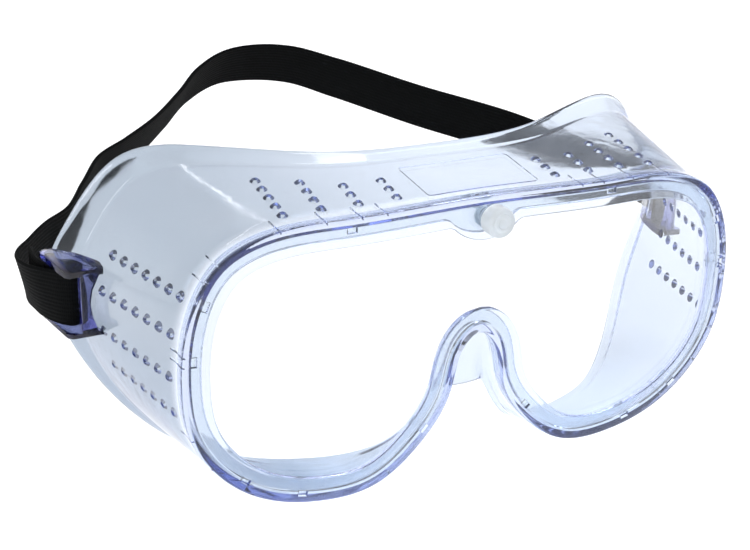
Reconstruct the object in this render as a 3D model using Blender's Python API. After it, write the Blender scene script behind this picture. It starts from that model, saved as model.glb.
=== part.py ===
"""Direct-vent safety goggles with an elastic headband.

X runs across the wearer's face, the lens faces -Y and +Z is up.  Design values are in
millimetres, and MM turns them into metres.  They count from the middle of the rim's
front face, at the level that the goggles stand on; the origin lies CENTRE_DEPTH behind
that, under the middle of the whole object.
"""
import math

import bmesh
import bpy
import numpy as np
from mathutils import Matrix, Vector

MM = 0.001
CENTRE_DEPTH = 74.2

# Moulded frame: lens rim, vented wall and face flange, as pairs of points on one side.
# Each row: x and z on the rim's outer edge, then x, y and z on the flange's edge.
HALF_SECTIONS = [
    (0.0, 77.3, 0.0, 32.8, 81.6),
    (39.5, 76.6, 35.0, 35.0, 82.9),
    (61.5, 75.3, 60.0, 46.5, 84.2),
    (72.6, 70.0, 79.1, 52.8, 81.3),
    (78.4, 61.7, 91.0, 54.5, 67.5),
    (82.1, 39.2, 97.0, 56.6, 42.9),
    (80.5, 27.4, 90.5, 55.8, 26.5),
    (71.6, 12.8, 76.5, 43.5, 8.8),
    (60.1, 4.6, 62.0, 31.0, 2.0),
    (44.9, 0.4, 45.8, 22.0, 0.5),
    (29.6, 1.3, 29.3, 17.2, 0.9),
    (17.0, 10.0, 16.4, 12.0, 7.4),
    (7.7, 24.6, 7.2, 8.0, 20.6),
    (2.9, 38.0, 2.7, 6.5, 22.6),
    (0.0, 39.5, 0.0, 6.3, 22.6),
]
STATIONS = 88
NOSE_DENSITY = 0.45
RIM_WIDTH = 7.2
RIM_DEPTH = 4.8
LIP = 1.2
GROOVE_BOTTOM = 2.4
REAR_LIP_WIDTH = 5.6
WALL = 1.7
WALL_STEPS = (0.1, 0.32, 0.56, 0.76, 0.9, 1.0)
FLARE_SHARE = 0.4
FLARE_POWER = 7

# Vent holes: a row for each x on the top, and a row for each height on the sides.
VENT_RADIUS = 0.9
VENT_SIDES = 8
TOP_VENT_START = 9.1
TOP_VENT_PITCH = 4.6
TOP_VENT_ROWS = ((23.3, 3), (34.0, 3), (44.1, 4), (54.4, 5))
SIDE_VENT_START = 8.2
SIDE_VENT_PITCH = 4.8
SIDE_VENT_HEIGHTS = (60.7, 51.3, 40.2, 30.3)
SIDE_VENT_RISE = 0.04
SIDE_VENT_COUNT = 7

# Lens and the round stud that pins its top edge.
LENS_THICKNESS = 2.0
LENS_INSET = 2.7
CLEARANCE = 0.3
TAB_HALF_WIDTH = 9.0
TAB_DROP = 4.6
STUD_Z = 71.7
STUD_HEAD_RADIUS = 4.7
STUD_HEAD_LENGTH = 4.0
STUD_SHANK_RADIUS = 2.0
STUD_FOOT_RADIUS = 3.2

# Strap brackets, drawn in plan for the +X side.
BRACKET_BOTTOM = 40.4
BRACKET_TOP = 58.4
BOTTOM_PLATE = 1.2
TOP_PLATE = 1.6
BAND_LEVEL = 49.2
PLATE_CORNERS = ((88.6, 37.4), (97.0, 37.4), (98.2, 38.6), (100.2, 54.4), (98.8, 55.8), (84.0, 55.8))
POST_DEPTHS = (37.5, 40.0)
POST_OUTER = 94.5
BARS = ((95.0, 45.2), (97.8, 52.6))
BAR_RADIUS = 1.2
PAD_CORNERS = ((84.0, 42.0), (88.6, 42.0), (91.0, 47.0), (93.2, 50.5), (96.8, 55.8), (84.0, 55.8))

# Elastic headband: x, y, z and inward lean of its top edge in degrees, on one side.
BAND_WIDTH = 15.0
BAND_THICKNESS = 1.2
HALF_BAND = [
    (98.0, 38.0, 49.2, 0.0),
    (104.6, 55.0, 49.2, 0.0),
    (101.2, 72.0, 49.7, 10.0),
    (87.0, 88.0, 52.0, 16.0),
    (69.5, 106.0, 58.5, 19.0),
    (47.0, 124.5, 65.5, 22.0),
    (25.0, 141.0, 73.0, 26.0),
    (0.0, 148.5, 77.5, 27.0),
]
BAND_STEPS = 72
BAND_START_Y = 60.0
# The threaded end in plan: in behind the front post, round the first bar, out past the second.
BAND_END_ROUTE = ((104.75, 59.4), (104.4, 55.2), (102.6, 50.8), (99.7, 46.9), (97.4, 43.9), (95.2, 42.6),
                  (93.3, 43.4), (92.7, 45.3), (93.5, 47.2), (96.2, 48.5), (98.9, 49.6), (100.2, 52.0),
                  (100.7, 54.8))
TAIL_ROUTE = ((100.7, 55.3), (100.0, 64.0))


def clear_scene():
    for obj in list(bpy.data.objects):
        bpy.data.objects.remove(obj, do_unlink=True)


def make_origin():
    """Empty that carries every piece, set so that the object is centred over its origin."""
    origin = bpy.data.objects.new("goggles_origin", None)
    origin.location = (0.0, -CENTRE_DEPTH * MM, 0.0)
    bpy.context.scene.collection.objects.link(origin)
    return origin


def make_material(name, colour, roughness, alpha=1.0):
    """Principled material with one colour; alpha below one is a clear plastic."""
    material = bpy.data.materials.new(name)
    material.use_nodes = True
    shader = material.node_tree.nodes["Principled BSDF"]
    shader.inputs["Base Color"].default_value = (*colour, 1.0)
    shader.inputs["Roughness"].default_value = roughness
    shader.inputs["Metallic"].default_value = 0.0
    shader.inputs["Alpha"].default_value = alpha
    return material


def add_object(name, vertices, faces, material=None, pivot=(0.0, 0.0, 0.0)):
    """Object from vertices in millimetres, with its own origin on the pivot."""
    pivot = Vector(pivot)
    mesh = bpy.data.meshes.new(name)
    mesh.from_pydata([(Vector(v) - pivot) * MM for v in vertices], [], faces)
    bm = bmesh.new()
    bm.from_mesh(mesh)
    bmesh.ops.recalc_face_normals(bm, faces=bm.faces)
    bm.to_mesh(mesh)
    bm.free()
    if material:
        mesh.materials.append(material)
    obj = bpy.data.objects.new(name, mesh)
    obj.location = pivot * MM
    obj.parent = bpy.data.objects["goggles_origin"]
    bpy.context.scene.collection.objects.link(obj)
    return obj


def combine(target, tool, operation):
    """Boolean of the hidden tool object on the target."""
    tool.hide_render = True
    tool.display_type = "WIRE"
    modifier = target.modifiers.new(tool.name, "BOOLEAN")
    modifier.operation = operation
    modifier.solver = "EXACT"
    modifier.object = tool


def periodic_spline(knots, points, samples):
    """Smooth closed curve through the points, read at the sample parameters."""
    points = np.asarray(points, float)
    count = len(points)
    steps = np.diff(np.append(knots, knots[0] + 1.0))
    matrix = np.zeros((count, count))
    right = np.zeros_like(points)
    for i in range(count):
        before, after = steps[i - 1], steps[i]
        matrix[i, i - 1] += before
        matrix[i, i] += 2.0 * (before + after)
        matrix[i, (i + 1) % count] += after
        forward = (points[(i + 1) % count] - points[i]) / after
        backward = (points[i] - points[i - 1]) / before
        right[i] = 6.0 * (forward - backward)
    bend = np.linalg.solve(matrix, right)
    result = []
    for u in samples:
        i = int(np.searchsorted(knots, u, side="right")) - 1
        j = (i + 1) % count
        h = steps[i]
        a = (knots[i] + h - u) / h
        b = 1.0 - a
        value = a * points[i] + b * points[j]
        value += ((a ** 3 - a) * bend[i] + (b ** 3 - b) * bend[j]) * h * h / 6.0
        result.append(value)
    return np.array(result)


def frame_curves():
    """Rim edge (x, z), its outward normal and flange edge (x, y, z) at each station."""
    left = [(-x, z, -fx, fy, fz) for x, z, fx, fy, fz in HALF_SECTIONS[-2:0:-1]]
    rows = np.array(HALF_SECTIONS + left)
    chords = np.linalg.norm(rows[:, :2] - np.roll(rows[:, :2], -1, axis=0), axis=1)
    knots = np.append(0.0, np.cumsum(chords)[:-1]) / chords.sum()
    turns = np.arange(STATIONS) / STATIONS
    samples = turns + NOSE_DENSITY * np.sin(2.0 * math.pi * turns) / (2.0 * math.pi)
    values = periodic_spline(knots, rows, samples)
    rim, flange = values[:, :2], values[:, 2:]
    along = np.roll(rim, -1, axis=0) - np.roll(rim, 1, axis=0)
    along /= np.linalg.norm(along, axis=1)[:, None]
    outward = np.stack([-along[:, 1], along[:, 0]], axis=1)
    return rim, outward, flange


def inset_point(rim, outward, inset, depth):
    """Point of the flat rim, inset from its outer edge and behind its front face."""
    x, z = rim - outward * inset
    return np.array([x, depth, z])


def wall_grid(rim, flange):
    """Outer skin of the wall, one row of points for each wall step."""
    grid = []
    for step in (0.0,) + WALL_STEPS:
        spread = (1.0 - FLARE_SHARE) * step + FLARE_SHARE * step ** FLARE_POWER
        row = np.empty((STATIONS, 3))
        row[:, 0] = rim[:, 0] + (flange[:, 0] - rim[:, 0]) * spread
        row[:, 1] = RIM_DEPTH + (flange[:, 1] - RIM_DEPTH) * step
        row[:, 2] = rim[:, 1] + (flange[:, 2] - rim[:, 1]) * spread
        grid.append(row)
    return np.array(grid)


def grid_normals(grid):
    """Unit normals of the wall grid, pointing away from the face cavity."""
    around = np.roll(grid, -1, axis=1) - np.roll(grid, 1, axis=1)
    back = np.gradient(grid, axis=0)
    normals = np.cross(around, back)
    return normals / np.linalg.norm(normals, axis=2)[:, :, None]


def frame_section(i, rim, outward, grid, normals):
    """Closed section of the moulding at one station, in order round the profile."""
    def flat(inset, depth):
        return inset_point(rim[i], outward[i], inset, depth)
    section = [flat(0.8, 0.0), flat(0.2, 0.3), flat(0.0, 1.0), flat(0.0, RIM_DEPTH)]
    section += [grid[k, i] for k in range(1, len(grid))]
    end = grid[-1, i] - grid[-2, i]
    end /= np.linalg.norm(end)
    section.append(grid[-1, i] - normals[-1, i] * WALL / 2 + end * WALL / 3)
    section += [grid[k, i] - normals[k, i] * WALL for k in range(len(grid) - 1, 1, -1)]
    section += [flat(WALL, RIM_DEPTH + 0.6), flat(WALL + 0.8, RIM_DEPTH)]
    section += [flat(REAR_LIP_WIDTH, RIM_DEPTH), flat(REAR_LIP_WIDTH, RIM_DEPTH - LIP)]
    section += [flat(GROOVE_BOTTOM, RIM_DEPTH - LIP), flat(GROOVE_BOTTOM, LIP)]
    section += [flat(RIM_WIDTH, LIP), flat(RIM_WIDTH, 0.4), flat(RIM_WIDTH - 0.4, 0.0)]
    return section


def loop_faces(rings, size):
    """Quads between neighbouring rings of a closed loft that returns to its start."""
    faces = []
    for i in range(rings):
        j = (i + 1) % rings
        for k in range(size):
            m = (k + 1) % size
            faces.append((i * size + k, i * size + m, j * size + m, j * size + k))
    return faces


def prism(name, corners, low, high, axis, material=None):
    """Straight prism of a closed outline, along Z from plan corners or along Y from the front."""
    if axis == "Z":
        ends = [[(a, b, level) for a, b in corners] for level in (low, high)]
    else:
        ends = [[(a, level, b) for a, b in corners] for level in (low, high)]
    count = len(corners)
    faces = [tuple(range(count)), tuple(range(2 * count - 1, count - 1, -1))]
    faces += [(k, (k + 1) % count, count + (k + 1) % count, count + k) for k in range(count)]
    return add_object(name, ends[0] + ends[1], faces, material)


def ring_of(centre, radius_a, radius_b, count):
    """Corners of an ellipse in the plane of its two radii."""
    turns = [2.0 * math.pi * (k + 0.5) / count for k in range(count)]
    return [(centre[0] + radius_a * math.cos(t), centre[1] + radius_b * math.sin(t)) for t in turns]


def vent_cutter():
    """All the vent holes as one set of straight cutting pins."""
    bm = bmesh.new()
    pins = []
    for x, count in TOP_VENT_ROWS:
        for side in (-1, 1):
            for k in range(count):
                pins.append(((side * x, TOP_VENT_START + TOP_VENT_PITCH * k, 79.0), "Z", 14.0))
    for height in SIDE_VENT_HEIGHTS:
        for side in (-1, 1):
            for k in range(SIDE_VENT_COUNT):
                run = SIDE_VENT_PITCH * k
                pins.append(((side * 83.0, SIDE_VENT_START + run, height + SIDE_VENT_RISE * run), "X", 20.0))
    for place, axis, length in pins:
        turn = Matrix.Rotation(math.pi / 2, 4, "Y") if axis == "X" else Matrix.Identity(4)
        spot = Matrix.Translation(Vector(place) * MM) @ turn
        bmesh.ops.create_cone(bm, cap_ends=True, segments=VENT_SIDES, radius1=VENT_RADIUS * MM,
                              radius2=VENT_RADIUS * MM, depth=length * MM, matrix=spot)
    mesh = bpy.data.meshes.new("vent_cutter")
    bm.to_mesh(mesh)
    bm.free()
    cutter = bpy.data.objects.new("vent_cutter", mesh)
    cutter.parent = bpy.data.objects["goggles_origin"]
    bpy.context.scene.collection.objects.link(cutter)
    return cutter


def build_frame(rim, outward, flange, material):
    grid = wall_grid(rim, flange)
    normals = grid_normals(grid)
    vertices = []
    for i in range(STATIONS):
        section = frame_section(i, rim, outward, grid, normals)
        vertices += section
    frame = add_object("goggle_frame", vertices, loop_faces(STATIONS, len(section)), material)
    tab_outline = ring_of((0.0, 77.3 - RIM_WIDTH + 0.5), TAB_HALF_WIDTH, TAB_DROP, 20)
    combine(frame, prism("stud_tab", tab_outline, 0.05, LIP - 0.05, "Y"), "UNION")
    stud_hole = ring_of((0.0, STUD_Z), STUD_SHANK_RADIUS + CLEARANCE, STUD_SHANK_RADIUS + CLEARANCE, 16)
    combine(frame, prism("stud_hole", stud_hole, -1.0, RIM_DEPTH + 2.0, "Y"), "DIFFERENCE")
    combine(frame, vent_cutter(), "DIFFERENCE")
    return frame


def build_lens(rim, outward, material):
    outline = [tuple(point) for point in rim - outward * LENS_INSET]
    front = LIP + (RIM_DEPTH - 2 * LIP - LENS_THICKNESS) / 2
    lens = prism("lens", outline, front, front + LENS_THICKNESS, "Y", material)
    hole = ring_of((0.0, STUD_Z), STUD_SHANK_RADIUS + CLEARANCE, STUD_SHANK_RADIUS + CLEARANCE, 16)
    combine(lens, prism("lens_hole", hole, 0.0, 8.0, "Y"), "DIFFERENCE")
    return lens


def build_stud(material):
    """Turned stud on a Y axis: stepped head in front, shank, and foot behind the rear lip."""
    head = STUD_HEAD_RADIUS
    profile = [(0.0, -3.3), (1.6, -3.3), (1.6, -STUD_HEAD_LENGTH), (3.0, -STUD_HEAD_LENGTH),
               (3.0, -3.5), (head - 0.5, -3.5), (head, -3.0), (head, -CLEARANCE),
               (STUD_SHANK_RADIUS, -CLEARANCE), (STUD_SHANK_RADIUS, RIM_DEPTH + CLEARANCE),
               (STUD_FOOT_RADIUS, RIM_DEPTH + CLEARANCE), (STUD_FOOT_RADIUS - 0.6, RIM_DEPTH + 1.5),
               (0.0, RIM_DEPTH + 1.5)]
    turns = 24
    vertices = [(0.0, profile[0][1], STUD_Z), (0.0, profile[-1][1], STUD_Z)]
    inner = profile[1:-1]
    for k in range(turns):
        angle = 2.0 * math.pi * k / turns
        for radius, depth in inner:
            vertices.append((radius * math.cos(angle), depth, STUD_Z + radius * math.sin(angle)))
    size = len(inner)
    faces = []
    for k in range(turns):
        here, there = 2 + k * size, 2 + (k + 1) % turns * size
        faces.append((0, here, there))
        faces.append((1, there + size - 1, here + size - 1))
        faces += [(here + m, here + m + 1, there + m + 1, there + m) for m in range(size - 1)]
    return add_object("lens_stud", vertices, faces, material)


def wall_clearance(name, rim, flange):
    """Closed solid just outside the wall's outer skin, which trims what sits on the wall."""
    grid = wall_grid(rim, flange)
    shell = grid + grid_normals(grid) * CLEARANCE
    end = shell[-1] - shell[-2]
    end /= np.linalg.norm(end, axis=1)[:, None]
    beyond = shell[-1] + end * (WALL / 3 + CLEARANCE)
    rings = [[tuple(point) for point in row] for row in list(shell) + [beyond]]
    vertices = [point for row in rings for point in row]
    faces = []
    for r in range(len(rings) - 1):
        for k in range(STATIONS):
            m = (k + 1) % STATIONS
            faces.append((r * STATIONS + k, r * STATIONS + m, (r + 1) * STATIONS + m, (r + 1) * STATIONS + k))
    last = (len(rings) - 1) * STATIONS
    front_centre, back_centre = len(vertices), len(vertices) + 1
    vertices += [(0.0, RIM_DEPTH, 55.0), (0.0, 62.0, 55.0)]
    for k in range(STATIONS):
        m = (k + 1) % STATIONS
        faces.append((front_centre, m, k))
        faces.append((back_centre, last + k, last + m))
    return add_object(name, vertices, faces)


def mirrored(corners, side):
    return [(side * x, y) for x, y in corners]


def build_bracket(name, side, rim, flange, material):
    """Strap bracket: base pad on the wall, two plates, a waisted post and two round bars."""
    bracket = prism(name, mirrored(PAD_CORNERS, side), BRACKET_BOTTOM, BRACKET_TOP, "Z", material)
    plates = mirrored(PLATE_CORNERS, side)
    tools = [prism(name + "_low", plates, BRACKET_BOTTOM - 0.01, BRACKET_BOTTOM + BOTTOM_PLATE, "Z"),
             prism(name + "_top", plates, BRACKET_TOP - TOP_PLATE, BRACKET_TOP + 0.01, "Z")]
    for k, (x, y) in enumerate(BARS):
        bar = ring_of((side * x, y), BAR_RADIUS, BAR_RADIUS, 10)
        tools.append(prism(f"{name}_bar_{k}", bar, BRACKET_BOTTOM + 0.5, BRACKET_TOP - 0.5, "Z"))
    low, high = BRACKET_BOTTOM + 0.4, BRACKET_TOP - 0.6
    waist = [(90.2, low), (POST_OUTER, low), (POST_OUTER, high), (89.2, high), (91.6, BAND_LEVEL + 3.5),
             (92.2, BAND_LEVEL), (91.8, BAND_LEVEL - 3.5)]
    tools.append(prism(name + "_post", mirrored(waist, side), *POST_DEPTHS, "Y"))
    for tool in tools:
        combine(bracket, tool, "UNION")
    combine(bracket, wall_clearance(name + "_wall", rim, flange), "DIFFERENCE")
    return bracket


def open_spline(points, count):
    """Evenly read smooth curve through open points, ends kept straight."""
    points = np.asarray(points, float)
    chord = np.linalg.norm(np.diff(points[:, :2], axis=0), axis=1)
    knots = np.append(0.0, np.cumsum(chord))
    slopes = np.gradient(points, knots, axis=0)
    values = []
    for u in np.linspace(0.0, knots[-1], count):
        i = min(int(np.searchsorted(knots, u, side="right")) - 1, len(points) - 2)
        h = knots[i + 1] - knots[i]
        t = (u - knots[i]) / h
        value = (2 * t ** 3 - 3 * t ** 2 + 1) * points[i] + (t ** 3 - 2 * t ** 2 + t) * h * slopes[i]
        value += (3 * t ** 2 - 2 * t ** 3) * points[i + 1] + (t ** 3 - t ** 2) * h * slopes[i + 1]
        values.append(value)
    return np.array(values)


def build_headband(material, pivot):
    """Flat elastic ribbon behind the brackets, leaning in at its top edge at the back."""
    other = [(-x, y, z, lean) for x, y, z, lean in HALF_BAND[-2::-1]]
    path = open_spline(HALF_BAND + other, BAND_STEPS)
    path = path[path[:, 1] > BAND_START_Y]
    centres, leans = path[:, :3], np.radians(path[:, 3])
    along = np.gradient(centres, axis=0)
    along /= np.linalg.norm(along, axis=1)[:, None]
    inward = np.cross(np.array([0.0, 0.0, 1.0]), along)
    inward /= np.linalg.norm(inward, axis=1)[:, None]
    upright = np.cross(along, inward)
    width = upright * np.cos(leans)[:, None] + inward * np.sin(leans)[:, None]
    face = np.cross(width, along)
    vertices = []
    for centre, w, f in zip(centres, width, face):
        across, through = w * BAND_WIDTH / 2, f * BAND_THICKNESS / 2
        vertices += [centre + across + through, centre + across - through,
                     centre - across - through, centre - across + through]
    rings = len(centres)
    faces = [(0, 1, 2, 3), tuple(range(4 * rings - 1, 4 * rings - 5, -1))]
    for i in range(rings - 1):
        faces += [(4 * i + k, 4 * i + (k + 1) % 4, 4 * i + 4 + (k + 1) % 4, 4 * i + 4 + k) for k in range(4)]
    return add_object("headband", vertices, faces, material, pivot)


def ribbon_outline(route, samples):
    """Plan outline of a webbing strip that follows the route."""
    path = open_spline(route, samples)
    along = np.gradient(path, axis=0)
    along /= np.linalg.norm(along, axis=1)[:, None]
    across = np.stack([-along[:, 1], along[:, 0]], axis=1) * BAND_THICKNESS / 2
    return [tuple(p) for p in path + across] + [tuple(p) for p in (path - across)[::-1]]


def build_strip(name, route, samples, side, material):
    """Upright webbing strip between the bracket plates."""
    outline = mirrored(ribbon_outline(route, samples), side)
    return prism(name, outline, BAND_LEVEL - BAND_WIDTH / 2, BAND_LEVEL + BAND_WIDTH / 2, "Z", material)


def build_goggles():
    clear_vinyl = make_material("clear_vinyl", (0.62, 0.68, 0.88), 0.12, 0.35)
    clear_lens = make_material("clear_lens", (0.90, 0.94, 0.98), 0.03, 0.15)
    frosted_plastic = make_material("frosted_plastic", (0.85, 0.90, 0.95), 0.45, 0.8)
    violet_plastic = make_material("violet_plastic", (0.10, 0.12, 0.45), 0.10, 0.6)
    elastic = make_material("elastic_webbing", (0.012, 0.012, 0.013), 0.85)
    rim, outward, flange = frame_curves()
    build_frame(rim, outward, flange, clear_vinyl)
    build_lens(rim, outward, clear_lens)
    build_stud(frosted_plastic)
    swing_pivot = (0.0, 48.0, BAND_LEVEL)
    build_headband(elastic, swing_pivot)
    for word, side in (("left", -1), ("right", 1)):
        build_bracket(word + "_strap_bracket", side, rim, flange, violet_plastic)
        build_strip(word + "_band_end", BAND_END_ROUTE, 40, side, elastic)
        build_strip(word + "_band_tail", TAIL_ROUTE, 2, side, elastic)


clear_scene()
make_origin()
build_goggles()
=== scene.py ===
"""Direct-vent safety goggles: the finished look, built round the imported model."""
import math

import bmesh
import bpy
import numpy as np
from mathutils import Matrix, Vector
from mathutils.bvhtree import BVHTree


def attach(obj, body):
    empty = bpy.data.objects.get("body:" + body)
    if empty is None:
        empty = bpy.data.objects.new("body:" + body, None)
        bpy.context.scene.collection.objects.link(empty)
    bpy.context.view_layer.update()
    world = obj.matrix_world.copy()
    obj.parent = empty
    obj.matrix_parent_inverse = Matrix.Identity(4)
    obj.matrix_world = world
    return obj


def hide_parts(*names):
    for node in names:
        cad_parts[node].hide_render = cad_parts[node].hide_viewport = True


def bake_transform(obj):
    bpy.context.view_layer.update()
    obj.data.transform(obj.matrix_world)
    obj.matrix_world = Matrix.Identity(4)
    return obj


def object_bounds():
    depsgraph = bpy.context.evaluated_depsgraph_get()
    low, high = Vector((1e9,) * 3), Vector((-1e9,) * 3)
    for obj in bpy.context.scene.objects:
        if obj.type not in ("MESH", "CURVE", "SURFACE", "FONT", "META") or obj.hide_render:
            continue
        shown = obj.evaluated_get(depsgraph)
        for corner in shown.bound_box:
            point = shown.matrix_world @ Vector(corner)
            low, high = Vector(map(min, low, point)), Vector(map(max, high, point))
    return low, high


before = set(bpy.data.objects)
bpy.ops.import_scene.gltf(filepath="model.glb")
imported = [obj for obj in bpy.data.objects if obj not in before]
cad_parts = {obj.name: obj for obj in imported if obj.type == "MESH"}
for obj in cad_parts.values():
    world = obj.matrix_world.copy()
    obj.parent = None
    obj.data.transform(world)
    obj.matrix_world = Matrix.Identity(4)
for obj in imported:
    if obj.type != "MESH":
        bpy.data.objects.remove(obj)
cad_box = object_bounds()

MM = 0.001
CENTRE_DEPTH = 74.2  # from the rim's front face back to the origin, in millimetres

# Frame sections on one side: x and z on the rim's outer edge, then x, y and z on the flange's edge.
HALF_SECTIONS = [
    (0.0, 77.3, 0.0, 32.8, 81.6),
    (39.5, 76.6, 35.0, 35.0, 82.9),
    (61.5, 75.3, 60.0, 46.5, 84.2),
    (72.6, 70.0, 79.1, 52.8, 81.3),
    (78.4, 61.7, 91.0, 54.5, 67.5),
    (82.1, 39.2, 97.0, 56.6, 42.9),
    (80.5, 27.4, 90.5, 55.8, 26.5),
    (71.6, 12.8, 76.5, 43.5, 8.8),
    (60.1, 4.6, 62.0, 31.0, 2.0),
    (44.9, 0.4, 45.8, 22.0, 0.5),
    (29.6, 1.3, 29.3, 17.2, 0.9),
    (17.0, 10.0, 16.4, 12.0, 7.4),
    (7.7, 24.6, 7.2, 8.0, 20.6),
    (2.9, 38.0, 2.7, 6.5, 22.6),
    (0.0, 39.5, 0.0, 6.3, 22.6),
]
STATIONS = 420
NOSE_DENSITY = 0.25
RIM_WIDTH = 7.2
RIM_DEPTH = 4.8
LIP = 1.2
GROOVE_BOTTOM = 2.4
REAR_LIP_WIDTH = 5.6
WALL = 1.7
LIP_START = 0.86
LIP_SPREAD = 0.70
TAB_HALF_WIDTH = 10.0
TAB_DROP = 4.6

TOP_VENT_START = 9.1
TOP_VENT_PITCH = 4.6
TOP_VENT_ROWS = ((23.3, 3), (34.0, 3), (44.1, 4), (54.4, 5))
TOP_SHIFT = {-1: 1.8, 1: 2.8}  # how far each side's rows sit towards +X
TOP_SPLAY = 0.2  # further shift of the -X rows at each hole back from the rim
SIDE_VENT_START = 8.2
SIDE_VENT_PITCH = 4.8
SIDE_VENT_HEIGHTS = (60.7, 51.3, 40.2, 30.3)
SIDE_VENT_RISE = 0.04
SIDE_VENT_COUNT = 7

# Tapered hole of a vent, (radius, height above the wall).
VENT_HOLE = [(1.6, -2.6), (1.42, -1.75), (0.8, 0.0), (0.84, 0.5)]
HOLE_SIDES = 20

# Shut-off marks on the rim: x and z on its outer edge for the cross grooves and the square pockets.
RIM_GROOVES = ((72.9, 69.8), (75.9, 66.3), (81.8, 48.8), (82.0, 45.5), (56.4, 76.2), (45.3, 76.7),
               (35.6, 76.6), (29.1, 76.7), (80.1, 26.2), (75.3, 17.2), (64.3, 6.9), (25.3, 3.3))
RIM_POCKETS = ((78.2, 62.0), (81.9, 47.1), (38.6, 76.6), (67.9, 9.4), (51.5, 1.6), (14.0, 14.0))
PANEL = (-14.0, 19.0, 6.2, 22.8)  # blank panel on the top wall: x from and to, then y from and to
PANEL_CORNER = 1.2
PANEL_GROOVE = (0.16, 0.3, 0.22)  # half width, height of the cutter above the wall and depth below it

LENS_THICKNESS = 2.0
LENS_INSET = 2.7
STUD_X = 1.4
STUD_Z = 71.2
STUD_FRONT = -5.0
STUD_HOLE_RADIUS = 2.3
# Turned stud from its front, (radius, depth behind the front): stepped head, then shank and foot.
STUD_HEAD = [(0.05, 0.3), (1.1, 0.3), (1.3, 0.2), (1.38, 0.06), (1.5, 0.0), (2.3, 0.0), (2.5, 0.1), (2.6, 0.26),
             (2.8, 0.32), (3.3, 0.34), (3.7, 0.6), (3.93, 1.0), (4.0, 1.4), (4.0, 4.5), (3.8, 4.7)]
STUD_SHANK = [(2.0, 4.72), (2.0, 10.1), (3.1, 10.12), (3.2, 10.4), (3.1, 10.9), (2.6, 11.3), (0.05, 11.3)]

BAND_WIDTH = 15.0
BAND_THICKNESS = 1.2
BAND_RIBS = 13
RIB_HEIGHT = 0.16
# Webbing threaded in a bracket, in plan for the +X side, from the hidden end to the outside.
THREADED_END = [
    (100.5, 54.4), (99.9, 51.6), (98.6, 49.7), (96.2, 48.5), (93.6, 47.2), (92.7, 45.3),
    (93.3, 43.4), (95.2, 42.6), (97.4, 43.9), (99.7, 46.9), (101.8, 50.8), (103.0, 56.0),
]
# How far the band's top edge leans out where it leaves the bracket, point by point.
END_LEANS = (0.0, 0.0, 0.0, 0.0, 0.0, 0.0, 0.0, 0.0, -2.0, -5.0, -10.0, -14.0)
BAND_LEVEL = 49.2
# Webbing from the left bracket round the back to the right one: x, y, z and inward lean.
LOOP = [
    (-102.6, 62.6, 48.9, -10.0),
    (-99.0, 71.0, 48.9, 3.0),
    (-92.1, 79.1, 50.0, 3.8),
    (-83.4, 86.6, 51.1, 4.0),
    (-76.6, 96.1, 54.7, 6.9),
    (-69.8, 105.9, 58.7, 14.7),
    (-58.7, 115.1, 61.2, 22.9),
    (-46.8, 124.2, 64.5, 28.5),
    (-35.9, 133.2, 68.9, 29.5),
    (-25.4, 141.6, 74.1, 29.3),
    (-13.2, 147.2, 77.6, 29.0),
    (-1.0, 148.6, 78.0, 24.9),
    (12.4, 146.6, 76.5, 21.3),
    (24.9, 139.9, 72.7, 14.2),
    (48.1, 121.9, 65.0, 8.2),
    (72.2, 101.2, 58.3, 4.8),
    (87.0, 87.6, 53.0, 9.0),
    (98.0, 76.0, 50.2, 6.0),
    (102.2, 66.0, 49.3, -6.0),
]
TAIL_ROUTE = [(99.6, 50.6), (100.6, 53.6), (100.8, 56.5), (100.5, 60.5), (100.0, 64.0)]

# Camera: azimuth and elevation it looks along, roll, distance and lens.
CAMERA_AZIMUTH = 28.47
CAMERA_ELEVATION = 22.21
CAMERA_ROLL = 1.81
CAMERA_DISTANCE = 379.96
CAMERA_SIDE = -13.67
CAMERA_RISE = 3.45
CAMERA_TARGET = (0.0, 30.0, 41.0)
SENSOR = 36.0
FOCAL_LENGTH = 65.67

# Lamps: name, place, target and size in metres, watts, and whether it shows in reflections.
SOFTBOXES = (
    ("key", (-0.6, -0.5, 1.0), (0.0, -0.03, 0.04), (1.2, 1.2), 8.5, False),
    ("fill", (0.6, 0.5, 1.0), (0.0, 0.0, 0.04), (1.2, 1.2), 7.5, False),
    ("lip", (0.55, 0.22, 1.1), (0.0, -0.02, 0.08), (0.8, 0.22), 2.2, True),
    ("strip", (0.15, 0.9, 1.0), (0.0, 0.0, 0.04), (0.9, 0.015), 0.22, True),
    ("side", (1.0, 0.1, 0.5), (0.05, 0.0, 0.04), (0.15, 0.6), 1.6, True),
    ("left", (-1.0, 0.3, 0.6), (-0.08, 0.0, 0.05), (0.1, 0.7), 1.2, True),
)
FLOOR_HALF = 6.0
FLOOR_GAP = 0.0002
BOUNCES = 24


# ---------------------------------------------------------------- geometry helpers

def to_world(point):
    """Millimetres from the rim's front face to metres in the object's frame."""
    return Vector((point[0] * MM, (point[1] - CENTRE_DEPTH) * MM, point[2] * MM))


def new_object(name, vertices, faces, material):
    """Mesh object from world-space vertices, with its faces turned outward."""
    mesh = bpy.data.meshes.new(name)
    mesh.from_pydata([tuple(v) for v in vertices], [], faces)
    bm = bmesh.new()
    bm.from_mesh(mesh)
    bmesh.ops.recalc_face_normals(bm, faces=bm.faces)
    bm.to_mesh(mesh)
    bm.free()
    if material:
        mesh.materials.append(material)
    obj = bpy.data.objects.new(name, mesh)
    bpy.context.scene.collection.objects.link(obj)
    return obj


def smooth(obj, angle=35.0):
    obj.data.shade_smooth()
    obj.data.set_sharp_from_angle(angle=math.radians(angle))


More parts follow.
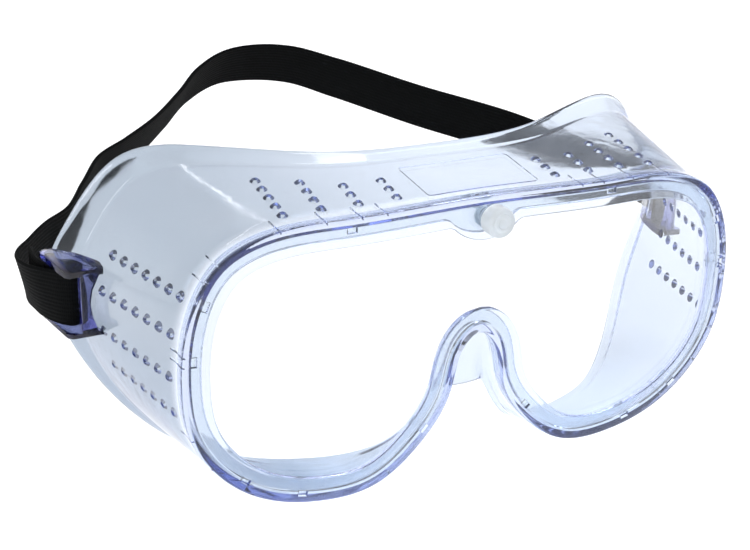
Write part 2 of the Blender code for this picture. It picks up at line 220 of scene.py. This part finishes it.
def apply_modifiers(obj):
    """Keeps the evaluated mesh and drops the modifiers."""
    bpy.context.view_layer.update()
    graph = bpy.context.evaluated_depsgraph_get()
    mesh = bpy.data.meshes.new_from_object(obj.evaluated_get(graph))
    obj.modifiers.clear()
    obj.data = mesh


def boolean(target, tool, operation):
    """Boolean of the tool on the target; the tool is used up."""
    modifier = target.modifiers.new(tool.name, "BOOLEAN")
    modifier.operation = operation
    modifier.solver = "EXACT"
    modifier.object = tool
    apply_modifiers(target)
    bpy.data.objects.remove(tool, do_unlink=True)


def periodic_spline(knots, points, samples):
    """Smooth closed curve through the points, read at the sample parameters."""
    points = np.asarray(points, float)
    count = len(points)
    steps = np.diff(np.append(knots, knots[0] + 1.0))
    matrix = np.zeros((count, count))
    right = np.zeros_like(points)
    for i in range(count):
        before, after = steps[i - 1], steps[i]
        matrix[i, i - 1] += before
        matrix[i, i] += 2.0 * (before + after)
        matrix[i, (i + 1) % count] += after
        forward = (points[(i + 1) % count] - points[i]) / after
        backward = (points[i] - points[i - 1]) / before
        right[i] = 6.0 * (forward - backward)
    bend = np.linalg.solve(matrix, right)
    result = []
    for u in samples:
        i = int(np.searchsorted(knots, u, side="right")) - 1
        j = (i + 1) % count
        h = steps[i]
        a = (knots[i] + h - u) / h
        b = 1.0 - a
        value = a * points[i] + b * points[j]
        value += ((a ** 3 - a) * bend[i] + (b ** 3 - b) * bend[j]) * h * h / 6.0
        result.append(value)
    return np.array(result)


def open_spline(points, count):
    """Evenly read smooth curve through open points."""
    points = np.asarray(points, float)
    chord = np.linalg.norm(np.diff(points[:, :2], axis=0), axis=1)
    knots = np.append(0.0, np.cumsum(chord))
    slopes = np.gradient(points, knots, axis=0)
    values = []
    for u in np.linspace(0.0, knots[-1], count):
        i = min(int(np.searchsorted(knots, u, side="right")) - 1, len(points) - 2)
        h = knots[i + 1] - knots[i]
        t = (u - knots[i]) / h
        value = (2 * t ** 3 - 3 * t ** 2 + 1) * points[i] + (t ** 3 - 2 * t ** 2 + t) * h * slopes[i]
        value += (3 * t ** 2 - 2 * t ** 3) * points[i + 1] + (t ** 3 - t ** 2) * h * slopes[i + 1]
        values.append(value)
    return np.array(values)


def arc(centre, radius, start, end, count):
    """Points of an arc in the section plane; angles in degrees."""
    turns = np.radians(np.linspace(start, end, count))
    return [(centre[0] + radius * math.cos(t), centre[1] + radius * math.sin(t)) for t in turns]


# ---------------------------------------------------------------- materials

def new_material(name):
    material = bpy.data.materials.new(name)
    material.use_nodes = True
    return material, material.node_tree, material.node_tree.nodes["Principled BSDF"]


def add_node(tree, kind, **values):
    node = tree.nodes.new(kind)
    for key, value in values.items():
        if hasattr(node, key):
            setattr(node, key, value)
        else:
            node.inputs[key].default_value = value
    return node


def noise(tree, scale, detail=3.0, roughness=0.5):
    """Noise in metres of the object's own space."""
    place = add_node(tree, "ShaderNodeTexCoord")
    texture = add_node(tree, "ShaderNodeTexNoise")
    texture.inputs["Scale"].default_value = scale
    texture.inputs["Detail"].default_value = detail
    texture.inputs["Roughness"].default_value = roughness
    tree.links.new(place.outputs["Object"], texture.inputs["Vector"])
    return texture.outputs["Fac"]


def map_range(tree, value, low, high, start=0.3, end=0.7):
    node = add_node(tree, "ShaderNodeMapRange")
    for key, number in (("From Min", start), ("From Max", end), ("To Min", low), ("To Max", high)):
        node.inputs[key].default_value = number
    tree.links.new(value, node.inputs["Value"])
    return node.outputs["Result"]


def mix_colours(tree, factor, first, second):
    """Mix of two colours, each plain or from another node."""
    node = add_node(tree, "ShaderNodeMix", data_type="RGBA")
    for socket, colour in ((node.inputs[6], first), (node.inputs[7], second)):
        if isinstance(colour, tuple):
            socket.default_value = (*colour, 1.0)
        else:
            tree.links.new(colour, socket)
    tree.links.new(factor, node.inputs[0])
    return node.outputs[2]


def add_bump(tree, shader, height, strength, distance):
    node = add_node(tree, "ShaderNodeBump")
    node.inputs["Strength"].default_value = strength
    node.inputs["Distance"].default_value = distance
    tree.links.new(height, node.inputs["Height"])
    tree.links.new(node.outputs["Normal"], shader.inputs["Normal"])


def absorb(material, tree, colour, density):
    """Tint that deepens with the length of the way through the plastic."""
    volume = add_node(tree, "ShaderNodeVolumeAbsorption")
    volume.inputs["Color"].default_value = (*colour, 1.0)
    volume.inputs["Density"].default_value = density
    tree.links.new(volume.outputs["Volume"], tree.nodes["Material Output"].inputs["Volume"])


def vinyl_material():
    """Soft clear vinyl with slow mould waves and a violet depth, with light and shade painted into its colour:
    painted shade greys the -X walls, darkest low down, and painted light makes the walls pale from the middle
    to +X and the rim palest.
    """
    material, tree, shader = new_material("clear_vinyl")
    cloud = noise(tree, 45.0)
    shader.inputs["IOR"].default_value = 1.5
    shader.inputs["Transmission Weight"].default_value = 0.98
    # painted shade: these greyer tones stand in for the dark surroundings seen in the -X walls; the cloud gives
    # the vinyl's own uneven tone
    grey = mix_colours(tree, cloud, (0.42, 0.49, 0.54), (0.48, 0.53, 0.57))
    # painted light: these paler tones make the middle and +X walls look lit by white surroundings
    pale = mix_colours(tree, cloud, (0.70, 0.78, 0.84), (0.75, 0.81, 0.85))
    place = add_node(tree, "ShaderNodeTexCoord")
    split = add_node(tree, "ShaderNodeSeparateXYZ")
    tree.links.new(place.outputs["Object"], split.inputs["Vector"])
    # masks for the painted light and shade: across runs from the -X walls to the middle, front picks out the
    # rim, rise runs up the walls
    across = map_range(tree, split.outputs["X"], 0.0, 1.0, -0.065, -0.005)
    front = map_range(tree, split.outputs["Y"], 1.0, 0.0, -0.0700, -0.0670)
    rise = map_range(tree, split.outputs["Z"], 0.0, 1.0, 0.010, 0.050)
    # painted shade, darkest on the low -X walls
    side = mix_colours(tree, rise, (0.31, 0.40, 0.50), grey)
    wall = mix_colours(tree, across, side, pale)
    # painted light: the rim front palest of all
    tree.links.new(mix_colours(tree, front, wall, (0.84, 0.89, 0.92)), shader.inputs["Base Color"])
    tree.links.new(map_range(tree, noise(tree, 160.0), 0.03, 0.10), shader.inputs["Roughness"])
    add_bump(tree, shader, noise(tree, 90.0, 2.0), 0.15, 0.0006)
    absorb(material, tree, (0.22, 0.34, 0.82), 64.0)
    return material


def lens_material():
    """Polished clear sheet with faint wipe marks."""
    material, tree, shader = new_material("clear_lens")
    shader.inputs["Base Color"].default_value = (0.985, 0.99, 1.0, 1.0)
    shader.inputs["IOR"].default_value = 1.5
    shader.inputs["Transmission Weight"].default_value = 1.0
    tree.links.new(map_range(tree, noise(tree, 60.0, 6.0, 0.7), 0.0, 0.035), shader.inputs["Roughness"])
    absorb(material, tree, (0.75, 0.82, 0.98), 30.0)
    return material


def bracket_material():
    """Hard clear plastic, deep blue-violet."""
    material, tree, shader = new_material("violet_plastic")
    shader.inputs["IOR"].default_value = 1.5
    shader.inputs["Transmission Weight"].default_value = 1.0
    tree.links.new(mix_colours(tree, noise(tree, 120.0), (0.80, 0.82, 0.97), (0.95, 0.96, 1.0)),
                   shader.inputs["Base Color"])
    tree.links.new(map_range(tree, noise(tree, 300.0), 0.02, 0.09), shader.inputs["Roughness"])
    add_bump(tree, shader, noise(tree, 180.0, 2.0), 0.08, 0.0004)
    absorb(material, tree, (0.14, 0.17, 0.60), 600.0)
    return material


def stud_material():
    """Frosted translucent white plastic."""
    material, tree, shader = new_material("frosted_plastic")
    shader.inputs["IOR"].default_value = 1.45
    shader.inputs["Transmission Weight"].default_value = 0.5
    tree.links.new(mix_colours(tree, noise(tree, 400.0), (0.88, 0.94, 0.97), (0.94, 0.98, 1.0)),
                   shader.inputs["Base Color"])
    tree.links.new(map_range(tree, noise(tree, 900.0, 5.0), 0.3, 0.45), shader.inputs["Roughness"])
    add_bump(tree, shader, noise(tree, 700.0, 3.0), 0.1, 0.00004)
    return material


def webbing_material():
    """Black ribbed elastic: crosswise yarn on the ribs, with dusty high threads."""
    material, tree, shader = new_material("elastic_webbing")
    coords = add_node(tree, "ShaderNodeTexCoord")
    weft = add_node(tree, "ShaderNodeTexWave", bands_direction="X", wave_profile="SIN")
    weft.inputs["Scale"].default_value = 620.0
    weft.inputs["Distortion"].default_value = 0.6
    weft.inputs["Detail"].default_value = 2.0
    tree.links.new(coords.outputs["UV"], weft.inputs["Vector"])
    fuzz = noise(tree, 2200.0, 4.0, 0.7)
    height = add_node(tree, "ShaderNodeMath", operation="ADD")
    weft_share = add_node(tree, "ShaderNodeMath", operation="MULTIPLY")
    weft_share.inputs[1].default_value = 0.4
    tree.links.new(weft.outputs["Fac"], weft_share.inputs[0])
    tree.links.new(weft_share.outputs["Value"], height.inputs[0])
    tree.links.new(fuzz, height.inputs[1])
    worn = map_range(tree, height.outputs["Value"], 0.0, 1.0, 0.5, 1.1)
    tree.links.new(mix_colours(tree, worn, (0.0010, 0.0013, 0.0014), (0.0045, 0.0055, 0.006)),
                   shader.inputs["Base Color"])
    tree.links.new(map_range(tree, fuzz, 0.72, 0.92), shader.inputs["Roughness"])
    shader.inputs["Sheen Weight"].default_value = 0.015
    shader.inputs["Sheen Roughness"].default_value = 0.5
    shader.inputs["Specular IOR Level"].default_value = 0.08
    add_bump(tree, shader, height.outputs["Value"], 0.5, 0.00012)
    return material


# ---------------------------------------------------------------- frame moulding

def frame_curves(stations):
    """Rim edge (x, z), its outward normal and flange edge (x, y, z) at each station."""
    left = [(-x, z, -fx, fy, fz) for x, z, fx, fy, fz in HALF_SECTIONS[-2:0:-1]]
    rows = np.array(HALF_SECTIONS + left)
    chords = np.linalg.norm(rows[:, :2] - np.roll(rows[:, :2], -1, axis=0), axis=1)
    knots = np.append(0.0, np.cumsum(chords)[:-1]) / chords.sum()
    turns = np.arange(stations) / stations
    samples = turns + NOSE_DENSITY * np.sin(2.0 * math.pi * turns) / (2.0 * math.pi)
    values = periodic_spline(knots, rows, samples)
    rim, flange = values[:, :2], values[:, 2:]
    along = np.roll(rim, -1, axis=0) - np.roll(rim, 1, axis=0)
    along /= np.linalg.norm(along, axis=1)[:, None]
    outward = np.stack([-along[:, 1], along[:, 0]], axis=1)
    return rim, outward, flange


def wall_grid(rim, flange, steps):
    """Outer skin of the wall from the rim's back to the flange's edge."""
    grid = []
    for step in steps:
        if step < LIP_START:
            spread = LIP_SPREAD * step / LIP_START
        else:
            spread = LIP_SPREAD + (1.0 - LIP_SPREAD) * (step - LIP_START) / (1.0 - LIP_START)
        row = np.empty((len(rim), 3))
        row[:, 0] = rim[:, 0] + (flange[:, 0] - rim[:, 0]) * spread
        row[:, 1] = RIM_DEPTH + (flange[:, 1] - RIM_DEPTH) * step
        row[:, 2] = rim[:, 1] + (flange[:, 2] - rim[:, 1]) * spread
        grid.append(row)
    return np.array(grid)


def grid_normals(grid):
    around = np.roll(grid, -1, axis=1) - np.roll(grid, 1, axis=1)
    back = np.gradient(grid, axis=0)
    normals = np.cross(around, back)
    return normals / np.linalg.norm(normals, axis=2)[:, :, None]


def tab_drop(x):
    """How far the stud's tab hangs below the rim's inner edge."""
    share = min(abs(x) / TAB_HALF_WIDTH, 1.0)
    return TAB_DROP * (1.0 - share * share) ** 0.8


def frame_section(i, rim, outward, grid, normals):
    """Closed section of the moulding at one station, in order round the profile."""
    def flat(inset, depth):
        x, z = rim[i] - outward[i] * inset
        return np.array([x, depth, z])
    drop = tab_drop(rim[i, 0]) if rim[i, 1] > 60.0 else 0.0
    width = RIM_WIDTH + drop
    rear = REAR_LIP_WIDTH + drop
    corner = 1.1
    section = [flat(a, b) for a, b in arc((corner, corner), corner, 270.0, 180.0, 6)]
    section += [flat(0.0, 2.4), flat(0.0, 3.6)]
    section += [grid[k, i] for k in range(len(grid))]
    end = grid[-1, i] - grid[-2, i]
    end /= np.linalg.norm(end)
    middle = grid[-1, i] - normals[-1, i] * WALL / 2
    for t in np.radians(np.linspace(25.0, 155.0, 6)):
        section.append(middle + normals[-1, i] * math.cos(t) * WALL / 2 + end * math.sin(t) * WALL / 2)
    section += [grid[k, i] - normals[k, i] * WALL for k in range(len(grid) - 1, 2, -1)]
    section += [flat(WALL, RIM_DEPTH + 0.8), flat(WALL + 0.2, RIM_DEPTH + 0.3), flat(WALL + 0.8, RIM_DEPTH)]
    section += [flat(a, b) for a, b in arc((rear - 0.4, RIM_DEPTH - 0.4), 0.4, 90.0, 0.0, 4)]
    section += [flat(rear, RIM_DEPTH - LIP), flat(GROOVE_BOTTOM, RIM_DEPTH - LIP), flat(GROOVE_BOTTOM, LIP)]
    section += [flat(width - 0.1, LIP), flat(width, LIP - 0.1)]
    section += [flat(a, b) for a, b in arc((width - 0.5, 0.5), 0.5, 0.0, -90.0, 5)]
    return section


def loft(sections):
    """Vertices and quads of a closed loft that returns to its start."""
    size = len(sections[0])
    vertices = [to_world(p) for section in sections for p in section]
    faces = []
    for i in range(len(sections)):
        j = (i + 1) % len(sections)
        for k in range(size):
            m = (k + 1) % size
            faces.append((i * size + k, i * size + m, j * size + m, j * size + k))
    return vertices, faces


def surface_point(tree, start, direction):
    """Where a straight line first meets the frame's skin, with the skin's normal there."""
    place, normal, _, _ = tree.ray_cast(to_world(start), Vector(direction))
    if normal.dot(Vector(direction)) > 0:
        normal = -normal
    return place, normal


def vent_spots(tree):
    """Place and outward normal of every vent hole."""
    spots = []
    for side in (-1, 1):
        for x, count in TOP_VENT_ROWS:
            for k in range(count):
                shift = TOP_SHIFT[side] + (TOP_SPLAY * k if side < 0 else 0.0)
                start = (side * x + shift, TOP_VENT_START + TOP_VENT_PITCH * k, 120.0)
                spots.append(surface_point(tree, start, (0, 0, -1)))
        for height in SIDE_VENT_HEIGHTS:
            for k in range(SIDE_VENT_COUNT):
                run = SIDE_VENT_PITCH * k
                start = (side * 140.0, SIDE_VENT_START + run, height + SIDE_VENT_RISE * run)
                spots.append(surface_point(tree, start, (-side, 0, 0)))
    return spots


def turned_shape(bm, profile, matrix, sides):
    """Closed turned body along +Z from (radius, height) points, both ends capped."""
    rings = []
    for radius, height in profile:
        ring = []
        for k in range(sides):
            t = 2.0 * math.pi * k / sides
            ring.append(bm.verts.new(matrix @ Vector((radius * math.cos(t), radius * math.sin(t), height))))
        rings.append(ring)
    for low, high in zip(rings[:-1], rings[1:]):
        for k in range(sides):
            m = (k + 1) % sides
            bm.faces.new((low[k], low[m], high[m], high[k]))
    bm.faces.new(rings[0][::-1])
    bm.faces.new(rings[-1])


def mesh_object(name, bm, material=None):
    bmesh.ops.recalc_face_normals(bm, faces=bm.faces)
    mesh = bpy.data.meshes.new(name)
    bm.to_mesh(mesh)
    bm.free()
    if material:
        mesh.materials.append(material)
    obj = bpy.data.objects.new(name, mesh)
    bpy.context.scene.collection.objects.link(obj)
    return obj


def vent_cutter(spots):
    """One tapered plug on every vent's place, facing out of the wall."""
    bm = bmesh.new()
    for place, normal in spots:
        turn = normal.to_track_quat("Z", "Y").to_matrix().to_4x4()
        turned_shape(bm, [(r * MM, h * MM) for r, h in VENT_HOLE], Matrix.Translation(place) @ turn, HOLE_SIDES)
    return mesh_object("vent_holes", bm)


def add_box(bm, centre, axes, sizes):
    """Oriented box from its centre, its three unit axes and its three sizes in millimetres."""
    turn = Matrix([[axes[c][r] for c in range(3)] for r in range(3)]).to_4x4()
    scale = Matrix.Diagonal((*[v * MM for v in sizes], 1.0))
    bmesh.ops.create_cube(bm, size=1.0, matrix=Matrix.Translation(to_world(centre)) @ turn @ scale)


def rim_cutter(rim, outward):
    """Thin grooves across the rim's outside and square pockets in its front, on both sides."""
    bm = bmesh.new()
    for marks, inset, depth, sizes in ((RIM_GROOVES, 0.1, 3.4, (0.35, 1.1, 7.4)),
                                       (RIM_POCKETS, 2.9, 0.2, (2.6, 1.6, 1.5))):
        for x, z in marks:
            for side in (-1, 1):
                i = int(np.argmin(np.hypot(rim[:, 0] - side * x, rim[:, 1] - z)))
                normal = np.array([outward[i, 0], 0.0, outward[i, 1]])
                along = np.array([-outward[i, 1], 0.0, outward[i, 0]])
                centre = np.array([rim[i, 0], depth, rim[i, 1]]) - normal * inset
                add_box(bm, centre, (along, normal, np.array([0.0, 1.0, 0.0])), sizes)
    return mesh_object("rim_cutter", bm)


def panel_cutter(tree):
    """Fine engraved outline of the blank panel on the top wall, as one closed strip."""
    x0, x1, y0, y1 = PANEL
    r = PANEL_CORNER
    plan = []
    for centre, turn in (((x1 - r, y1 - r), 0.0), ((x0 + r, y1 - r), 90.0), ((x0 + r, y0 + r), 180.0),
                         ((x1 - r, y0 + r), 270.0)):
        plan += arc(centre, r, turn, turn + 90.0, 5)
    plan = np.array(plan)
    dense = [plan[i] + (plan[(i + 1) % len(plan)] - plan[i]) * share
             for i in range(len(plan)) for share in (0.0, 0.25, 0.5, 0.75)]
    places, normals = [], []
    for x, y in dense:
        place, normal = surface_point(tree, (x, y, 120.0), (0, 0, -1))
        places.append(np.array(place) / MM + np.array([0.0, CENTRE_DEPTH, 0.0]))
        normals.append(np.array(normal))
    places, normals = np.array(places), np.array(normals)
    along = np.roll(places, -1, axis=0) - np.roll(places, 1, axis=0)
    across = np.cross(normals, along)
    across /= np.linalg.norm(across, axis=1)[:, None]
    half, above, below = PANEL_GROOVE
    corners = ((half, above), (-half, above), (-half, -below), (half, -below))
    sections = [[p + w * a + n * b for a, b in corners] for p, w, n in zip(places, across, normals)]
    return new_object("panel_cutter", *loft(sections), None)


def turned_along_y(bm, profile, front, sides):
    """Turned body on the stud's axis, (radius, depth behind the front)."""
    turn = Matrix.Rotation(-math.pi / 2, 4, "X")
    place = Matrix.Translation(to_world((STUD_X, front, STUD_Z))) @ turn
    turned_shape(bm, [(r * MM, d * MM) for r, d in profile], place, sides)


def stud_hole_cutter():
    """Round plug for the stud's hole through the frame and the lens."""
    bm = bmesh.new()
    turned_along_y(bm, [(STUD_HOLE_RADIUS, -2.0), (STUD_HOLE_RADIUS, 8.0)], 0.0, 32)
    return mesh_object("stud_hole", bm)


def build_frame(material):
    rim, outward, flange = frame_curves(STATIONS)
    steps = np.append(np.linspace(0.0, 0.8, 12), [0.835, 0.85, 0.86, 0.87, 0.885, 0.91, 0.94, 0.97, 1.0])
    grid = wall_grid(rim, flange, steps)
    normals = grid_normals(grid)
    sections = [frame_section(i, rim, outward, grid, normals) for i in range(STATIONS)]
    vertices, faces = loft(sections)
    obj = new_object("vinyl_frame", vertices, faces, material)
    tree = BVHTree.FromPolygons([tuple(v) for v in vertices], faces)
    spots = vent_spots(tree)
    boolean(obj, vent_cutter(spots), "DIFFERENCE")
    boolean(obj, rim_cutter(rim, outward), "DIFFERENCE")
    boolean(obj, panel_cutter(tree), "DIFFERENCE")
    boolean(obj, stud_hole_cutter(), "DIFFERENCE")
    smooth(obj, 32.0)
    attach(obj, "goggles")
    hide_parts("goggle_frame")
    obj.visible_shadow = False
    return obj


# ---------------------------------------------------------------- lens and stud

def build_lens(material):
    """Flat lens with a finely rounded edge, in the rim's groove."""
    rim, outward, _ = frame_curves(STATIONS)
    front = LIP + (RIM_DEPTH - 2 * LIP - LENS_THICKNESS) / 2
    levels = [(0.25, 0.0), (0.0, 0.25), (0.0, LENS_THICKNESS - 0.25), (0.25, LENS_THICKNESS)]
    bm = bmesh.new()
    rings = []
    for inset, depth in levels:
        ring = []
        for point in rim - outward * (LENS_INSET + inset):
            ring.append(bm.verts.new(to_world((point[0], front + depth, point[1]))))
        rings.append(ring)
    for low, high in zip(rings[:-1], rings[1:]):
        for k in range(STATIONS):
            m = (k + 1) % STATIONS
            bm.faces.new((low[k], low[m], high[m], high[k]))
    bm.faces.new(rings[0][::-1])
    bm.faces.new(rings[-1])
    obj = mesh_object("lens_sheet", bm, material)
    boolean(obj, stud_hole_cutter(), "DIFFERENCE")
    smooth(obj, 30.0)
    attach(obj, "goggles")
    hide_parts("lens")
    obj.visible_shadow = False


def build_stud(material):
    """Round stud with a stepped face: outer rim, ring groove and raised centre."""
    bm = bmesh.new()
    turned_along_y(bm, STUD_HEAD + STUD_SHANK, STUD_FRONT, 72)
    obj = mesh_object("frosted_stud", bm, material)
    smooth(obj, 40.0)
    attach(obj, "goggles")
    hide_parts("lens_stud")


# ---------------------------------------------------------------- strap brackets

def build_bracket(side_word, material):
    """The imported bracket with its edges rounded."""
    node = side_word + "_strap_bracket"
    obj = bpy.data.objects.new(side_word + "_bracket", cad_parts[node].data.copy())
    bpy.context.scene.collection.objects.link(obj)
    bm = bmesh.new()
    bm.from_mesh(obj.data)
    bmesh.ops.remove_doubles(bm, verts=bm.verts, dist=1e-6)
    bmesh.ops.dissolve_limit(bm, angle_limit=math.radians(2.0), verts=bm.verts, edges=bm.edges)
    bm.to_mesh(obj.data)
    bm.free()
    obj.data.materials.clear()
    obj.data.materials.append(material)
    bevel = obj.modifiers.new("round", "BEVEL")
    bevel.width = 0.22 * MM
    bevel.segments = 2
    bevel.limit_method = "ANGLE"
    bevel.angle_limit = math.radians(40.0)
    apply_modifiers(obj)
    smooth(obj, 28.0)
    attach(obj, "goggles")
    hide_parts(node)
    obj.visible_shadow = False


# ---------------------------------------------------------------- elastic webbing

def band_profile():
    """Section of the webbing across its width: ribs on both faces and rounded edges."""
    half = BAND_WIDTH / 2
    across = np.linspace(-half + 0.5, half - 0.5, BAND_RIBS * 4 + 1)
    height = BAND_THICKNESS / 2 - RIB_HEIGHT * (0.5 - 0.5 * np.cos(np.arange(len(across)) * math.pi / 2))
    top = list(zip(across, height))
    edge = [(half - 0.18, 0.33), (half, 0.0), (half - 0.18, -0.33)]
    under = [(a, -h) for a, h in top[::-1]]
    return top + edge + under + [(-a, -h) for a, h in edge]


def sweep_band(name, route, count, material):
    """Webbing swept along a route of x, y, z and lean, with UVs in metres for its yarns."""
    path = open_spline(route, count)
    centres, leans = path[:, :3], np.radians(path[:, 3])
    along = np.gradient(centres, axis=0)
    along /= np.linalg.norm(along, axis=1)[:, None]
    inward = np.cross(along, np.array([0.0, 0.0, 1.0]))
    inward /= np.linalg.norm(inward, axis=1)[:, None]
    upright = np.cross(inward, along)
    width = upright * np.cos(leans)[:, None] + inward * np.sin(leans)[:, None]
    face = np.cross(width, along)
    run = np.append(0.0, np.cumsum(np.linalg.norm(np.diff(centres, axis=0), axis=1)))
    profile = band_profile()
    size = len(profile)
    bm = bmesh.new()
    layer = bm.loops.layers.uv.new("weave")
    rings, ups = [], {}
    for centre, w, f, s in zip(centres, width, face, run):
        ring = []
        for a, h in profile:
            vertex = bm.verts.new(to_world(centre + w * a + f * h))
            ups[vertex] = (s * MM, a * MM)
            ring.append(vertex)
        rings.append(ring)
    for first, second in zip(rings[:-1], rings[1:]):
        for k in range(size):
            m = (k + 1) % size
            bm.faces.new((first[k], first[m], second[m], second[k]))
    bm.faces.new(rings[0][::-1])
    bm.faces.new(rings[-1])
    for one in bm.faces:
        for loop in one.loops:
            loop[layer].uv = ups[loop.vert]
    obj = mesh_object(name, bm, material)
    smooth(obj, 50.0)
    return obj


def build_headband(material):
    """One length of webbing from the left bracket's bars round the back to the right one's."""
    threaded = [(x, y, BAND_LEVEL, lean) for (x, y), lean in zip(THREADED_END, END_LEANS)]
    left = [(-x, y, z, lean) for x, y, z, lean in threaded]
    obj = sweep_band("headband_webbing", left + LOOP + threaded[::-1], 620, material)
    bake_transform(obj)
    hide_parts("headband", "left_band_end", "right_band_end")
    for word, side in (("left", -1), ("right", 1)):
        route = [(side * x, y, BAND_LEVEL, 0.0) for x, y in TAIL_ROUTE]
        tail = sweep_band(word + "_free_tail", route, 24, material)
        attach(tail, word + "_tail")
        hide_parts(word + "_band_tail")


# ---------------------------------------------------------------- floor, light and camera

def build_stage():
    """Wide pale floor just under the object."""
    material, _, shader = new_material("pale_floor")
    shader.inputs["Base Color"].default_value = (0.97, 0.97, 0.975, 1.0)
    shader.inputs["Roughness"].default_value = 0.9
    shader.inputs["Emission Color"].default_value = (1.0, 1.0, 1.0, 1.0)
    shader.inputs["Emission Strength"].default_value = 0.22
    level = cad_box[0][2] - FLOOR_GAP
    corners = [(x * FLOOR_HALF, y * FLOOR_HALF, level) for x, y in ((-1, -1), (1, -1), (1, 1), (-1, 1))]
    floor = new_object("floor", corners, [(0, 1, 2, 3)], material)


def build_world():
    """White at the horizon and grey above it."""
    world = bpy.data.worlds.new("studio")
    bpy.context.scene.world = world
    world.use_nodes = True
    tree = world.node_tree
    coords = add_node(tree, "ShaderNodeTexCoord")
    split = add_node(tree, "ShaderNodeSeparateXYZ")
    tree.links.new(coords.outputs["Generated"], split.inputs["Vector"])
    height = map_range(tree, split.outputs["Z"], 0.0, 1.0, 0.04, 0.42)
    colour = mix_colours(tree, height, (1.0, 1.0, 1.0), (0.28, 0.27, 0.285))
    back = tree.nodes["Background"]
    back.inputs["Strength"].default_value = 0.95
    tree.links.new(colour, back.inputs["Color"])


def add_softbox(name, place, target, size, watts, mirrored):
    """Soft rectangular lamp turned to its target."""
    light = bpy.data.lights.new(name, "AREA")
    light.shape = "RECTANGLE"
    light.size, light.size_y = size
    light.energy = watts
    obj = bpy.data.objects.new(name, light)
    obj.location = place
    obj.rotation_euler = (Vector(target) - Vector(place)).to_track_quat("-Z", "Y").to_euler()
    obj.visible_glossy = mirrored
    bpy.context.scene.collection.objects.link(obj)


def build_camera():
    """Camera from its azimuth, elevation and roll round the target."""
    a, e, r = (math.radians(v) for v in (CAMERA_AZIMUTH, CAMERA_ELEVATION, CAMERA_ROLL))
    view = Vector((math.sin(a) * math.cos(e), math.cos(a) * math.cos(e), -math.sin(e)))
    side = Vector((math.cos(a), -math.sin(a), 0.0))
    rise = side.cross(view)
    right = side * math.cos(r) + rise * math.sin(r)
    up = rise * math.cos(r) - side * math.sin(r)
    place = Vector(CAMERA_TARGET) - view * CAMERA_DISTANCE + right * CAMERA_SIDE + up * CAMERA_RISE
    data = bpy.data.cameras.new("camera")
    data.sensor_width = SENSOR
    data.lens = FOCAL_LENGTH
    data.clip_start = 0.01
    camera = bpy.data.objects.new("camera", data)
    turn = Matrix((right, up, -view)).transposed().to_4x4()
    camera.matrix_world = Matrix.Translation(to_world(place)) @ turn
    bpy.context.scene.collection.objects.link(camera)
    bpy.context.scene.camera = camera


def set_light_paths():
    """Enough bounces for several clear walls in a row, and plain colours."""
    scene = bpy.context.scene
    scene.cycles.max_bounces = BOUNCES
    scene.cycles.transmission_bounces = BOUNCES
    scene.cycles.transparent_max_bounces = BOUNCES
    scene.cycles.glossy_bounces = 8
    scene.view_settings.view_transform = "Standard"


build_camera()
build_stage()
build_world()
for lamp in SOFTBOXES:
    add_softbox(*lamp)
set_light_paths()
vinyl = vinyl_material()
build_frame(vinyl)
build_lens(lens_material())
build_stud(stud_material())
violet = bracket_material()
build_bracket("left", violet)
build_bracket("right", violet)
build_headband(webbing_material())
